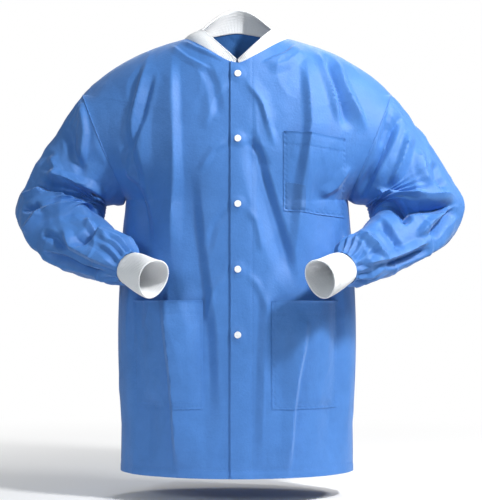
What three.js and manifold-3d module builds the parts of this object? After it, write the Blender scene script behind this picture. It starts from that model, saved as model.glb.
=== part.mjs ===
// Snap-front lab coat with knit collar and cuffs, in its worn shape: the front is closed and both
// forearms are brought forward to the mouths of the lower pockets.
//
// Units are millimetres. +Z is up, the front faces -Y, and +X is the wearer's left. The origin lies
// midway between the two points where the neckline meets the shoulder seams, which carry the coat.
// Each half is shaped on the +X side and mirrored for the other side.

import * as THREE from 'three';
import { mergeVertices } from 'three/addons/utils/BufferGeometryUtils.js';
import Module from 'manifold-3d';

const wasm = await Module();
wasm.setup();

// Cloth and sewing clearances
const CLOTH = 1.6;
const PLACKET_CLOTH = 2.4;
const KNIT = 2.8;
const SEAM_GAP = 0.5;
const ARMHOLE_GAP = 2.6;
const COLLAR_SEAM_GAP = 2.8;
const PATCH_GAP = 1.2;

// Neckline and shoulders
const NECK_HALF_WIDTH = 92;
const NECK_SIDE_Y = 12;
const SHOULDER_HALF_WIDTH = 271;
const SHOULDER_DROP = 98;
const SHOULDER_ARCH = 0.28;
const SHOULDER_ARCH_PLACE = 0.63;
const SHOULDER_Y = 8;

// Armhole and sides
const ARMPIT_HALF_WIDTH = 195;
const ARMPIT_DROP = 283;
const ARMHOLE_FRONT_DEPTH = 70;
const ARMHOLE_BACK_DEPTH = 74;
const ARMHOLE_TURN = THREE.MathUtils.degToRad(35);
const WAIST_SWELL = 10;
const HEM_HALF_WIDTH = 203;
const HEM_DROP = 756;

// Centre lines of the front and the back, as distances out from the origin's plane
const FRONT = {
  sign: -1,
  neckDrop: 52,
  neckDepth: 98,
  chestSwell: 22,
  swellLength: 90,
  flare: 18,
  shoulderRowDrop: 98,
  armpitRowDrop: 248,
};
const BACK = {
  sign: 1,
  neckDrop: -18,
  neckDepth: 75,
  chestSwell: 42,
  swellLength: 80,
  flare: 8,
  shoulderRowDrop: 128,
  armpitRowDrop: 308,
};
const SHOULDER_SLIMNESS = 0.3;
const SLIM_FADE_START_ROW = 1.5;
const SLIM_FADE_END_ROW = 2.4;
const CENTRE_EASE = 0.15;

// Front opening: the wearer's left front lies over the right one
const FOLD_X = 50;
const TOP_OVERLAP = 10.5;
const UNDER_OVERLAP = 13;
const LAYER_LIFT = 3.6;
const LIFT_START_X = 15;
const FOLD_GAP = 0.6;

// Collar
const COLLAR_TOP_HALF_WIDTH = 62;
const COLLAR_TOP_FRONT_Y = -92;
const COLLAR_TOP_BACK_Y = 62;
const COLLAR_FRONT_Z = -48;
const COLLAR_SIDE_Z = 14;
const COLLAR_BACK_Z = 60;
const COLLAR_BOW = 4;
const COLLAR_END_X = 3;

// Sleeves
const ELBOW_CORNER = new THREE.Vector3(377, 42, -324);
const WRIST = new THREE.Vector3(179, -152, -402);
const ELBOW_RADIUS = 82;
const ELBOW_DEPTH_RADIUS = 70;
const CROOK_CLEARANCE = 7;
const FOREARM_RADIUS = 49;
const FOREARM_DEPTH_RADIUS = 42;
const WRIST_RADIUS = 28;
const GATHER_LENGTH = 42;
const ARMHOLE_EASE_LENGTH = 75;
const ELBOW_GAP = 1.0;

// Cuffs
const CUFF_LENGTH = 60;
const CUFF_START_RADIUS = 27.5;
const CUFF_END_RADIUS = 33;

// Pockets
const LOWER_POCKET_HEIGHT = 183;
const LOWER_POCKET_ABOVE_HEM = 117;
const LOWER_POCKET = {
  inner: 58,
  outer: 176,
  top: LOWER_POCKET_HEIGHT + LOWER_POCKET_ABOVE_HEM - HEM_DROP,
  bottom: LOWER_POCKET_ABOVE_HEM - HEM_DROP,
  tilt: 0.02,
  bulge: 20,
};
const CHEST_POCKET = { inner: 79, outer: 185, top: -169, bottom: -304, tilt: 0.11, bulge: 13 };

// Snaps
const SNAP_COUNT = 5;
const SNAP_FIRST_DROP = 72;
const SNAP_PITCH = 110.5;
const SNAP_X = 1.5;
const SNAP_RADIUS = 5.8;
const SNAP_POST_RADIUS = 1.3;
const SNAP_HOLE_RADIUS = 1.9;
const SNAP_BALL_RADIUS = 2.0;
const SNAP_CLEARANCE = 0.3;
const SNAP_CAP_HEIGHT = 1.8;
const SNAP_SOCKET_HEIGHT = 2.2;
const SNAP_SOCKET_LIP = 0.6;
const SNAP_STUD_BASE = 1.0;
const SNAP_STUD_BORE_DEPTH = 0.7;
const SNAP_BACK_HEIGHT = 1.0;
const SNAP_POST_REACH = 0.4;
const SNAP_SEGMENTS = 12;

// Colours
const CLOTH_BLUE = 0x3f78c4;
const KNIT_WHITE = 0xe9ecf0;
const SNAP_WHITE = 0xf2f4f6;

const { clamp, lerp, smoothstep } = THREE.MathUtils;
const RIGHT_ANGLE = Math.PI / 2;

// ---------------------------------------------------------------------------------------------
// Cloth solids

// The outward normal of a surface whose u runs to the right and v runs down, seen from outside.
function outwardNormal(surface, u, v) {
  const step = 1e-3;
  const across = surface(Math.min(u + step, 1), v).sub(surface(Math.max(u - step, 0), v));
  const down = surface(u, Math.min(v + step, 1)).sub(surface(u, Math.max(v - step, 0)));
  return down.cross(across).normalize();
}

// A sheet of cloth: its outer face follows the surface, its inner face lies a thickness behind,
// and walls close its edges. A wrapped sheet joins its last column to its first, as a tube.
function clothSolid(surface, columns, rows, thickness, wrapped = false) {
  const outer = [];
  const inner = [];
  const vertexColumns = wrapped ? columns : columns + 1;
  for (let j = 0; j <= rows; j += 1) {
    for (let i = 0; i < vertexColumns; i += 1) {
      const u = i / columns;
      const v = j / rows;
      const point = surface(u, v);
      const normal = outwardNormal(surface, u, v);
      outer.push(point);
      inner.push(point.clone().addScaledVector(normal, -thickness));
    }
  }
  const innerStart = outer.length;
  const at = (i, j) => j * vertexColumns + (i % vertexColumns);
  const indices = [];
  const quad = (a, b, c, d) => indices.push(a, b, c, a, c, d);
  for (let j = 0; j < rows; j += 1) {
    for (let i = 0; i < columns; i += 1) {
      const [a, b, c, d] = [at(i, j), at(i, j + 1), at(i + 1, j + 1), at(i + 1, j)];
      quad(a, b, c, d);
      quad(innerStart + d, innerStart + c, innerStart + b, innerStart + a);
    }
  }
  for (let i = 0; i < columns; i += 1) {
    const [topLeft, topRight] = [at(i, 0), at(i + 1, 0)];
    const [lowLeft, lowRight] = [at(i, rows), at(i + 1, rows)];
    quad(topLeft, topRight, innerStart + topRight, innerStart + topLeft);
    quad(lowRight, lowLeft, innerStart + lowLeft, innerStart + lowRight);
  }
  if (!wrapped) {
    for (let j = 0; j < rows; j += 1) {
      const [leftTop, leftLow] = [at(0, j), at(0, j + 1)];
      const [rightTop, rightLow] = [at(columns, j), at(columns, j + 1)];
      quad(leftLow, leftTop, innerStart + leftTop, innerStart + leftLow);
      quad(rightTop, rightLow, innerStart + rightLow, innerStart + rightTop);
    }
  }
  const geometry = new THREE.BufferGeometry().setFromPoints([...outer, ...inner]);
  geometry.setIndex(indices);
  geometry.computeVertexNormals();
  return geometry;
}

// The same surface on the other side of the coat, still seen from outside.
const mirrored = (surface) => (u, v) => {
  const point = surface(1 - u, v);
  point.x = -point.x;
  return point;
};

const onSide = (side, surface) => (side > 0 ? surface : mirrored(surface));

// ---------------------------------------------------------------------------------------------
// Body of the coat

// A row runs from the centre line to the outer boundary. v goes from 0 at the neckline to 1 at the
// shoulder's tip, 2 at the armpit and 3 at the hem, so the rows are spread over three bands.
const BANDS = 3;

const neckPoint = new THREE.Vector3(NECK_HALF_WIDTH, NECK_SIDE_Y, 0);
const shoulderTip = new THREE.Vector3(SHOULDER_HALF_WIDTH, SHOULDER_Y, -SHOULDER_DROP);
const armpit = new THREE.Vector3(ARMPIT_HALF_WIDTH, SHOULDER_Y, -ARMPIT_DROP);
const armholeCentre = shoulderTip.clone().add(armpit).multiplyScalar(0.5);
const armholeHalf = shoulderTip.clone().sub(armpit).multiplyScalar(0.5);
const armholeNormal = new THREE.Vector3(armholeHalf.z, 0, -armholeHalf.x).normalize();

const shoulderSeam = new THREE.QuadraticBezierCurve3(
  neckPoint,
  neckPoint.clone().lerp(shoulderTip, SHOULDER_ARCH_PLACE).setZ(-SHOULDER_ARCH * SHOULDER_DROP),
  shoulderTip,
);

// The armhole seam: angle 0 at the shoulder's tip, a quarter turn at the front, half at the armpit.
function armholePoint(angle) {
  const depth = Math.sin(angle) > 0 ? ARMHOLE_FRONT_DEPTH : ARMHOLE_BACK_DEPTH;
  const point = armholeCentre.clone().addScaledVector(armholeHalf, Math.cos(angle));
  point.y -= depth * Math.sin(angle);
  return point;
}

function sidePoint(t) {
  const swell = WAIST_SWELL * Math.sin(Math.PI * Math.min(t * 1.2, 1));
  const x = lerp(ARMPIT_HALF_WIDTH, HEM_HALF_WIDTH, smoothstep(t, 0, 1)) + swell;
  return new THREE.Vector3(x, lerp(SHOULDER_Y, 0, t), lerp(-ARMPIT_DROP, -HEM_DROP, t));
}

function centrePoint(face, v) {
  const stops = [0, face.shoulderRowDrop, face.armpitRowDrop, HEM_DROP - face.neckDrop];
  const band = Math.min(Math.floor(v), 2);
  const below = lerp(stops[band], stops[band + 1], v - band);
  const swell = face.chestSwell * (1 - Math.exp(-below / face.swellLength));
  const depth = face.neckDepth + swell + face.flare * (below / stops[3]);
  return new THREE.Vector3(0, face.sign * depth, -face.neckDrop - below);
}

function rowAt(face, v) {
  const band = Math.min(Math.floor(v), 2);
  const t = v - band;
  const centre = centrePoint(face, v);
  const faded = smoothstep(v, SLIM_FADE_START_ROW, SLIM_FADE_END_ROW);
  const slimness = SHOULDER_SLIMNESS * smoothstep(v, 0, 1) * (1 - faded);
  if (band === 0) {
    return { centre, end: shoulderSeam.getPoint(t), turn: RIGHT_ANGLE, slimness };
  }
  if (band === 1) {
    const end = armholePoint(-face.sign * Math.PI * t);
    const turn = RIGHT_ANGLE - ARMHOLE_TURN * Math.sin(Math.PI * t);
    return { centre, end, turn, slimness };
  }
  return { centre, end: sidePoint(t), turn: RIGHT_ANGLE, slimness };
}

// A point of the body at a row's angle, from 0 on the centre line to the row's full turn.
function bodyPoint(face, v, angle) {
  const { centre, end, turn, slimness } = rowAt(face, v);
  const share = Math.sin(angle) / Math.sin(turn);
  const eased = Math.hypot(share, CENTRE_EASE) - CENTRE_EASE;
  const outShare = eased / (Math.hypot(1, CENTRE_EASE) - CENTRE_EASE);
  const fall = Math.max(Math.cos(angle) - Math.cos(turn), 0) / (1 - Math.cos(turn));
  const depthShare = Math.pow(fall, 1 + slimness);
  const y = lerp(end.y, centre.y, depthShare);
  return new THREE.Vector3(end.x * share, y, lerp(centre.z, end.z, outShare));
}

function angleAtX(face, v, x) {
  const { end, turn } = rowAt(face, v);
  return Math.asin((x * Math.sin(turn)) / end.x);
}

const plainFrontPoint = (v, x) => bodyPoint(FRONT, v, angleAtX(FRONT, v, x));

// A point of one front at a distance from the centre line. Between the fold and the overlap the
// two fronts part, the top one outward and the under one inward, to hold the snaps between them.
function frontPoint(lift, v, x) {
  const point = plainFrontPoint(v, x);
  if (lift === 0) return point;
  const local = (u, w) => plainFrontPoint(clamp(v + w - 0.5, 0, BANDS), x + u - 0.5);
  const raised = lift * (1 - smoothstep(x, LIFT_START_X, FOLD_X));
  return point.addScaledVector(outwardNormal(local, 0.5, 0.5), raised);
}

function sideFrontSurface(u, v) {
  const row = v * BANDS;
  const { turn } = rowAt(FRONT, row);
  const start = angleAtX(FRONT, row, FOLD_X + FOLD_GAP);
  const point = bodyPoint(FRONT, row, lerp(start, turn, u));
  point.y -= SEAM_GAP * smoothstep(u, 0.5, 1);
  return point;
}

const edgeSurface = (lift, overlap) => (u, v) =>
  frontPoint(lift, v * BANDS, lerp(-overlap, FOLD_X - FOLD_GAP, u));

function backSurface(u, v) {
  const row = v * BANDS;
  const { turn } = rowAt(BACK, row);
  const point = bodyPoint(BACK, row, lerp(turn, -turn, u));
  const outShare = Math.abs(2 * u - 1);
  point.y += SEAM_GAP * smoothstep(outShare, 0.5, 1);
  return point;
}

// ---------------------------------------------------------------------------------------------
// Collar: a band of knit that leans in from the neckline to a smaller, higher loop. Its angle is 0
// at the centre front, a quarter turn at the wearer's left and half a turn at the centre back.

function neckSeamPoint(angle, lift) {
  const folded = angle > Math.PI ? 2 * Math.PI - angle : angle;
  const front = folded < RIGHT_ANGLE;
  const point = front
    ? frontPoint(lift, 0, NECK_HALF_WIDTH * Math.sin(folded))
    : bodyPoint(BACK, 0, Math.PI - folded);
  if (angle > Math.PI) point.x = -point.x;
  return point;
}

function collarTopPoint(angle) {
  const folded = angle > Math.PI ? 2 * Math.PI - angle : angle;
  const middleY = (COLLAR_TOP_FRONT_Y + COLLAR_TOP_BACK_Y) / 2;
  const halfDepth = (COLLAR_TOP_BACK_Y - COLLAR_TOP_FRONT_Y) / 2;
  const backRise = smoothstep(folded, RIGHT_ANGLE, Math.PI);
  const frontRise = Math.sin(Math.min(folded, RIGHT_ANGLE));
  const z = lerp(COLLAR_FRONT_Z, COLLAR_SIDE_Z, frontRise);
  return new THREE.Vector3(
    COLLAR_TOP_HALF_WIDTH * Math.sin(angle),
    middleY - halfDepth * Math.cos(angle),
    z + (COLLAR_BACK_Z - COLLAR_SIDE_Z) * backRise,
  );
}

const collarSurface = (startAngle, endAngle, lift) => (u, v) => {
  const angle = lerp(startAngle, endAngle, u);
  const seam = neckSeamPoint(angle, lift);
  const top = collarTopPoint(angle);
  const rise = seam.distanceTo(top);
  const point = top.lerp(seam, v * (1 - COLLAR_SEAM_GAP / rise));
  const bow = COLLAR_BOW * Math.sin(Math.PI * v) * smoothstep(rise, 10, 40);
  point.x += bow * Math.sin(angle);
  point.y -= bow * Math.cos(angle);
  return point;
};

const COLLAR_FOLD_ANGLE = Math.asin(FOLD_X / NECK_HALF_WIDTH);
const COLLAR_END_ANGLE = Math.asin(COLLAR_END_X / NECK_HALF_WIDTH);
const COLLAR_FOLD_GAP = FOLD_GAP / NECK_HALF_WIDTH;

// ---------------------------------------------------------------------------------------------
// Sleeves: a tube along two straight legs joined by an arc at the elbow

const ELBOW_BEND_RADIUS = ELBOW_RADIUS + CROOK_CLEARANCE;
const upperDirection = ELBOW_CORNER.clone().sub(armholeCentre).normalize();
const forearmDirection = WRIST.clone().sub(ELBOW_CORNER).normalize();
const elbowTurn = upperDirection.angleTo(forearmDirection);
const elbowTangent = ELBOW_BEND_RADIUS * Math.tan(elbowTurn / 2);
const bendAxis = upperDirection.clone().cross(forearmDirection).normalize();
const arcStart = ELBOW_CORNER.clone().addScaledVector(upperDirection, -elbowTangent);
const arcEnd = ELBOW_CORNER.clone().addScaledVector(forearmDirection, elbowTangent);
const upperLength = arcStart.distanceTo(armholeCentre);
const arcLength = ELBOW_BEND_RADIUS * elbowTurn;
const forearmLength = WRIST.distanceTo(arcEnd);
const elbowDistance = upperLength + arcLength / 2;
const sleeveLength = upperLength + arcLength + forearmLength;
const crookCentre = arcStart
  .clone()
  .addScaledVector(bendAxis.clone().cross(upperDirection), ELBOW_BEND_RADIUS);

// The sleeve's centre line and the directions of its ring at a distance down from the armhole.
function sleeveFrame(distance) {
  const turned = clamp((distance - upperLength) / ELBOW_BEND_RADIUS, 0, elbowTurn);
  const along = upperDirection.clone().applyAxisAngle(bendAxis, turned);
  const outward = along.clone().cross(bendAxis);
  const centre = crookCentre.clone().addScaledVector(outward, ELBOW_BEND_RADIUS);
  if (distance < upperLength) {
    centre.addScaledVector(along, distance - upperLength);
  } else if (distance > upperLength + arcLength) {
    centre.addScaledVector(along, distance - upperLength - arcLength);
  }
  return { centre, along, outward };
}

// The ring's angle that faces the shoulder's tip, so that seams run straight down the sleeve.
const armholeUp = armholeHalf.clone().normalize();
const startOutward = upperDirection.clone().cross(bendAxis);
const ringSide = bendAxis.clone().negate();
const ringPhase = Math.atan2(armholeUp.dot(ringSide), armholeUp.dot(startOutward));

function ringPoint(distance, angle, radius, depthRadius) {
  const { centre, outward } = sleeveFrame(distance);
  return centre
    .addScaledVector(outward, radius * Math.cos(angle + ringPhase))
    .addScaledVector(ringSide, depthRadius * Math.sin(angle + ringPhase));
}

function sleevePoint(distance, angle) {
  const taper = smoothstep(distance, elbowDistance, sleeveLength - GATHER_LENGTH);
  const gather = smoothstep(distance, sleeveLength - GATHER_LENGTH, sleeveLength);
  const radius = lerp(lerp(ELBOW_RADIUS, FOREARM_RADIUS, taper), WRIST_RADIUS, gather);
  const fullDepth = lerp(ELBOW_DEPTH_RADIUS, FOREARM_DEPTH_RADIUS, taper);
  const ring = ringPoint(distance, angle, radius, lerp(fullDepth, WRIST_RADIUS, gather));
  const ease = smoothstep(distance, 0, ARMHOLE_EASE_LENGTH);
  const seam = armholePoint(angle)
    .addScaledVector(armholeNormal, ARMHOLE_GAP)
    .addScaledVector(upperDirection, Math.min(distance, upperLength));
  return seam.lerp(ring, ease);
}

// The shoulder's tip, then the back, the armpit and the front, as seen going right from outside.
const ringAngle = (u) => -2 * Math.PI * u;

function upperSleeveSurface(u, v) {
  const point = sleevePoint(elbowDistance * v, ringAngle(u));
  const { along } = sleeveFrame(elbowDistance);
  return point.addScaledVector(along, -(ELBOW_GAP / 2) * smoothstep(v, 0.8, 1));
}

function lowerSleeveSurface(u, v) {
  const point = sleevePoint(lerp(elbowDistance, sleeveLength, v), ringAngle(u));
  const { along } = sleeveFrame(elbowDistance);
  return point.addScaledVector(along, (ELBOW_GAP / 2) * (1 - smoothstep(v, 0, 0.2)));
}

function cuffSurface(u, v) {
  const radius = lerp(CUFF_START_RADIUS, CUFF_END_RADIUS, v);
  const distance = sleeveLength + SEAM_GAP + CUFF_LENGTH * v;
  return ringPoint(distance, ringAngle(u), radius, radius);
}

// ---------------------------------------------------------------------------------------------
// Patch pockets: sewn flat at the sides and the bottom, and standing open at the mouth

// The row on which one front reaches a height at a distance from the centre line.
function rowAtHeight(x, z) {
  let [low, high] = [0, BANDS];
  for (let i = 0; i < 40; i += 1) {
    const middle = (low + high) / 2;
    const { end } = rowAt(FRONT, middle);
    const reached = end.x > x && frontPoint(0, middle, x).z < z;
    [low, high] = reached ? [low, middle] : [middle, high];
  }
  return low;
}

const pocketSurface = (pocket) => {
  const panel = (u, v) => {
    const x = lerp(pocket.inner, pocket.outer, u);
    const z = lerp(pocket.top, pocket.bottom, v) - pocket.tilt * (x - pocket.inner);
    return frontPoint(0, rowAtHeight(x, z), x);
  };
  return (u, v) => {
    const across = Math.sin(Math.PI * u);
    const open = Math.cos(RIGHT_ANGLE * v);
    const standOff = PATCH_GAP + CLOTH + pocket.bulge * across * open;
    return panel(u, v).addScaledVector(outwardNormal(panel, u, v), standOff);
  };
};

// ---------------------------------------------------------------------------------------------
// Snaps. Each turned profile lists radius and height, and height 0 lies midway between the fronts.

const TOP_OUTER = LAYER_LIFT;
const TOP_INNER = LAYER_LIFT - PLACKET_CLOTH;
const UNDER_OUTER = -LAYER_LIFT;
const UNDER_INNER = -LAYER_LIFT - PLACKET_CLOTH;
const SNAP_BORE_RADIUS = SNAP_POST_RADIUS + SNAP_CLEARANCE;
const SNAP_CAVITY_RADIUS = SNAP_BALL_RADIUS + 0.8;

function turned(profile) {
  const points = profile.map(([radius, height]) => new THREE.Vector2(radius, height));
  return new THREE.LatheGeometry(points, SNAP_SEGMENTS);
}

const capBase = TOP_OUTER + SNAP_CLEARANCE;
const capGeometry = turned([
  [0, TOP_INNER - SNAP_CLEARANCE - SNAP_POST_REACH],
  [SNAP_POST_RADIUS, TOP_INNER - SNAP_CLEARANCE - SNAP_POST_REACH],
  [SNAP_POST_RADIUS, capBase],
  [SNAP_RADIUS, capBase],
  [SNAP_RADIUS, capBase + 0.35 * SNAP_CAP_HEIGHT],
  [0.82 * SNAP_RADIUS, capBase + 0.75 * SNAP_CAP_HEIGHT],
  [0.45 * SNAP_RADIUS, capBase + 0.95 * SNAP_CAP_HEIGHT],
  [0, capBase + SNAP_CAP_HEIGHT],
]);

const socketTop = TOP_INNER - SNAP_CLEARANCE;
const socketLow = socketTop - SNAP_SOCKET_HEIGHT;
const socketGeometry = turned([
  [SNAP_BORE_RADIUS, socketTop],
  [SNAP_BORE_RADIUS, socketTop - SNAP_SOCKET_LIP],
  [SNAP_CAVITY_RADIUS, socketTop - SNAP_SOCKET_LIP],
  [SNAP_CAVITY_RADIUS, socketLow],
  [0.8 * SNAP_RADIUS, socketLow],
  [0.95 * SNAP_RADIUS, socketLow + 0.5],
  [0.95 * SNAP_RADIUS, socketTop],
  [SNAP_BORE_RADIUS, socketTop],
]);

const studLow = UNDER_OUTER + SNAP_CLEARANCE;
const studBaseTop = studLow + SNAP_STUD_BASE;
const ballTop = socketTop - SNAP_SOCKET_LIP - SNAP_CLEARANCE;
const studGeometry = turned([
  [0, studLow + SNAP_STUD_BORE_DEPTH],
  [SNAP_BORE_RADIUS, studLow + SNAP_STUD_BORE_DEPTH],
  [SNAP_BORE_RADIUS, studLow],
  [0.95 * SNAP_RADIUS, studLow],
  [0.95 * SNAP_RADIUS, studBaseTop - 0.2],
  [0.85 * SNAP_RADIUS, studBaseTop],
  [0.75 * SNAP_BALL_RADIUS + 0.4, studBaseTop],
  [0.75 * SNAP_BALL_RADIUS, lerp(studBaseTop, ballTop, 0.3)],
  [SNAP_BALL_RADIUS, lerp(studBaseTop, ballTop, 0.6)],
  [0.6 * SNAP_BALL_RADIUS, ballTop],
  [0, ballTop],
]);

const backTop = UNDER_INNER - SNAP_CLEARANCE;
const snapBackGeometry = turned([
  [0, backTop - SNAP_BACK_HEIGHT],
  [0.9 * SNAP_RADIUS, backTop - SNAP_BACK_HEIGHT],
  [0.95 * SNAP_RADIUS, backTop - 0.4],
  [0.95 * SNAP_RADIUS, backTop],
  [SNAP_POST_RADIUS, backTop],
  [SNAP_POST_RADIUS, studLow + SNAP_POST_REACH],
  [0, studLow + SNAP_POST_REACH],
]);

function snapPlace(number) {
  const z = -(SNAP_FIRST_DROP + (number - 1) * SNAP_PITCH);
  const row = rowAtHeight(SNAP_X, z);
  const local = (u, v) => frontPoint(0, row + v - 0.5, SNAP_X + u - 0.5);
  const normal = outwardNormal(local, 0.5, 0.5);
  const up = new THREE.Vector3(0, 1, 0);
  const rotation = new THREE.Quaternion().setFromUnitVectors(up, normal);
  return { position: local(0.5, 0.5), rotation };
}

// ---------------------------------------------------------------------------------------------
// Solids cut by other solids

function toManifold(geometry) {
  const bare = geometry.clone();
  bare.deleteAttribute('normal');
  bare.deleteAttribute('uv');
  const merged = mergeVertices(bare, 1e-4);
  return new wasm.Manifold(
    new wasm.Mesh({
      numProp: 3,
      vertProperties: new Float32Array(merged.attributes.position.array),
      triVerts: new Uint32Array(merged.index.array),
    }),
  );
}

function fromManifold(solid) {
  const { vertProperties, triVerts } = solid.getMesh();
  const geometry = new THREE.BufferGeometry();
  geometry.setAttribute('position', new THREE.BufferAttribute(vertProperties, 3));
  geometry.setIndex(new THREE.BufferAttribute(triVerts, 1));
  geometry.computeVertexNormals();
  return geometry;
}

// Each front edge has a hole for the post of every snap.
function withSnapHoles(geometry) {
  let solid = toManifold(geometry);
  for (let number = 1; number <= SNAP_COUNT; number += 1) {
    const { position, rotation } = snapPlace(number);
    const hole = new THREE.CylinderGeometry(SNAP_HOLE_RADIUS, SNAP_HOLE_RADIUS, 30, SNAP_SEGMENTS);
    hole.applyQuaternion(rotation).translate(position.x, position.y, position.z);
    solid = solid.subtract(toManifold(hole));
  }
  return fromManifold(solid);
}

// ---------------------------------------------------------------------------------------------
// Assembly

const clothMaterial = () =>
  new THREE.MeshStandardMaterial({ color: CLOTH_BLUE, roughness: 0.75, metalness: 0 });
const knitMaterial = () =>
  new THREE.MeshStandardMaterial({ color: KNIT_WHITE, roughness: 0.95, metalness: 0 });
const snapMaterial = () =>
  new THREE.MeshStandardMaterial({ color: SNAP_WHITE, roughness: 0.35, metalness: 0 });

function piece(name, geometry, material) {
  const mesh = new THREE.Mesh(geometry, material);
  mesh.name = name;
  return mesh;
}

const coat = new THREE.Group();

const SIDES = [
  { name: 'left', side: 1 },
  { name: 'right', side: -1 },
];

coat.add(piece('back_panel', clothSolid(backSurface, 18, 18, CLOTH), clothMaterial()));

for (const { name, side } of SIDES) {
  const front = clothSolid(onSide(side, sideFrontSurface), 9, 18, CLOTH);
  coat.add(piece(`${name}_front_panel`, front, clothMaterial()));
}

const topEdge = clothSolid(edgeSurface(LAYER_LIFT, TOP_OVERLAP), 4, 21, PLACKET_CLOTH);
const underEdge = clothSolid(
  mirrored(edgeSurface(-LAYER_LIFT, UNDER_OVERLAP)), 4, 21, PLACKET_CLOTH,
);
coat.add(piece('left_front_edge', withSnapHoles(topEdge), clothMaterial()));
coat.add(piece('right_front_edge', withSnapHoles(underEdge), clothMaterial()));

const collarStart = COLLAR_FOLD_ANGLE + COLLAR_FOLD_GAP;
const collarBack = collarSurface(collarStart, 2 * Math.PI - collarStart, 0);
coat.add(piece('collar_back', clothSolid(collarBack, 26, 2, KNIT), knitMaterial()));
for (const { name, side } of SIDES) {
  const end = collarSurface(COLLAR_END_ANGLE, COLLAR_FOLD_ANGLE - COLLAR_FOLD_GAP, side * LAYER_LIFT);
  const geometry = clothSolid(onSide(side, end), 5, 2, KNIT);
  coat.add(piece(`${name}_collar_end`, geometry, knitMaterial()));
}

for (const { name, side } of SIDES) {
  const upper = clothSolid(onSide(side, upperSleeveSurface), 18, 7, CLOTH, true);
  const lower = clothSolid(onSide(side, lowerSleeveSurface), 18, 11, CLOTH, true);
  const cuff = clothSolid(onSide(side, cuffSurface), 16, 2, KNIT, true);
  coat.add(piece(`${name}_upper_sleeve`, upper, clothMaterial()));
  coat.add(piece(`${name}_lower_sleeve`, lower, clothMaterial()));
  coat.add(piece(`${name}_cuff`, cuff, knitMaterial()));
}

for (const { name, side } of SIDES) {
  const pocket = clothSolid(onSide(side, pocketSurface(LOWER_POCKET)), 8, 6, CLOTH);
  coat.add(piece(`${name}_lower_pocket`, pocket, clothMaterial()));
}
const chestPocket = clothSolid(pocketSurface(CHEST_POCKET), 8, 6, CLOTH);
coat.add(piece('chest_pocket', chestPocket, clothMaterial()));

const SNAP_PIECES = [
  ['cap', capGeometry],
  ['socket', socketGeometry],
  ['stud', studGeometry],
  ['back', snapBackGeometry],
];

for (let number = 1; number <= SNAP_COUNT; number += 1) {
  const { position, rotation } = snapPlace(number);
  const snap = new THREE.Group();
  snap.position.copy(position);
  snap.quaternion.copy(rotation);
  for (const [part, geometry] of SNAP_PIECES) {
    snap.add(piece(`snap_${number}_${part}`, geometry.clone(), snapMaterial()));
  }
  coat.add(snap);
}

export default coat;
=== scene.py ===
"""Looks of the lab coat, in metres and in the CAD frame.

+Z is up, the front faces -Y, and +X is the wearer's left. The origin lies midway between the two
points where the neckline meets the shoulder seams. The fronts, sleeves, cuffs and pockets are shaped
on the +X side, and turned over where they belong on the other.
"""

import math

import bpy
import numpy as np
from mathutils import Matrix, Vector, noise


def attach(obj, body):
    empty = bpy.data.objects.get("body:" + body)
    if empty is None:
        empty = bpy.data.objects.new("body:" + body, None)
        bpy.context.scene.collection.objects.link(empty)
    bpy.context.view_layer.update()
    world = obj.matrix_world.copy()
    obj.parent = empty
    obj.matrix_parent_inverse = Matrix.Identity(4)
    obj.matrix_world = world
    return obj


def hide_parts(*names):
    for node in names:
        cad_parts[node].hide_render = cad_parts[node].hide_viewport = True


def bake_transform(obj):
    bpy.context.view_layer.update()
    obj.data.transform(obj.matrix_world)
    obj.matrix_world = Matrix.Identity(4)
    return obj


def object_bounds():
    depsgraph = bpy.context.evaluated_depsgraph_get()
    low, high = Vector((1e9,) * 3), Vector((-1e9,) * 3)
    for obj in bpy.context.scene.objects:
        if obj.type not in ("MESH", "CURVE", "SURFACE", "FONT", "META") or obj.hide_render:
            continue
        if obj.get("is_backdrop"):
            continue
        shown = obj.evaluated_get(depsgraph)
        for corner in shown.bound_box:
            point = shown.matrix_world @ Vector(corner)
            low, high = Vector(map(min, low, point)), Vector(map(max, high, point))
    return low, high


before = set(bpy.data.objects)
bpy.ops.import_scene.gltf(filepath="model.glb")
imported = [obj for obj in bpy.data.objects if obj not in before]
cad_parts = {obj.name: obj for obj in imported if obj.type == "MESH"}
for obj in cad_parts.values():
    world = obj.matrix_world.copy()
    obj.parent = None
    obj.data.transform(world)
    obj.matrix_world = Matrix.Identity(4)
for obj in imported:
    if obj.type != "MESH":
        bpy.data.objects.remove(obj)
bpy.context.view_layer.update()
DETAIL = 1.0  # share of the grid lines across and along a sheet

# ------------------------------------------------------------------------------------------------
# Sizes, as in the CAD source
RIGHT_ANGLE = math.pi / 2
SIDES = {1: "left", -1: "right"}
NECK = np.array([0.092, 0.012, 0.0])
SHOULDER = np.array([0.271, 0.008, -0.098])
ARMPIT = np.array([0.195, 0.008, -0.283])
SHOULDER_ARCH, SHOULDER_ARCH_PLACE = 0.28, 0.63
ARMHOLE_FRONT_DEPTH, ARMHOLE_BACK_DEPTH = 0.070, 0.074
ARMHOLE_TURN = math.radians(35)
WAIST_SWELL = 0.010
HEM_HALF_WIDTH, HEM_DROP = 0.203, 0.756
FRONT = {
    "sign": -1, "neck_drop": 0.052, "neck_depth": 0.098, "swell": 0.022, "swell_length": 0.090,
    "flare": 0.018, "rows": (0.098, 0.248),
}
BACK = {
    "sign": 1, "neck_drop": -0.018, "neck_depth": 0.075, "swell": 0.042, "swell_length": 0.080,
    "flare": 0.008, "rows": (0.128, 0.308),
}
ROW_BANDS = 3  # neck to shoulder, shoulder to armpit, armpit to hem
SLIMMING, SLIM_FADE_ROWS = 0.3, (1.5, 2.4)
ROW_END_EASE = 0.15

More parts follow.
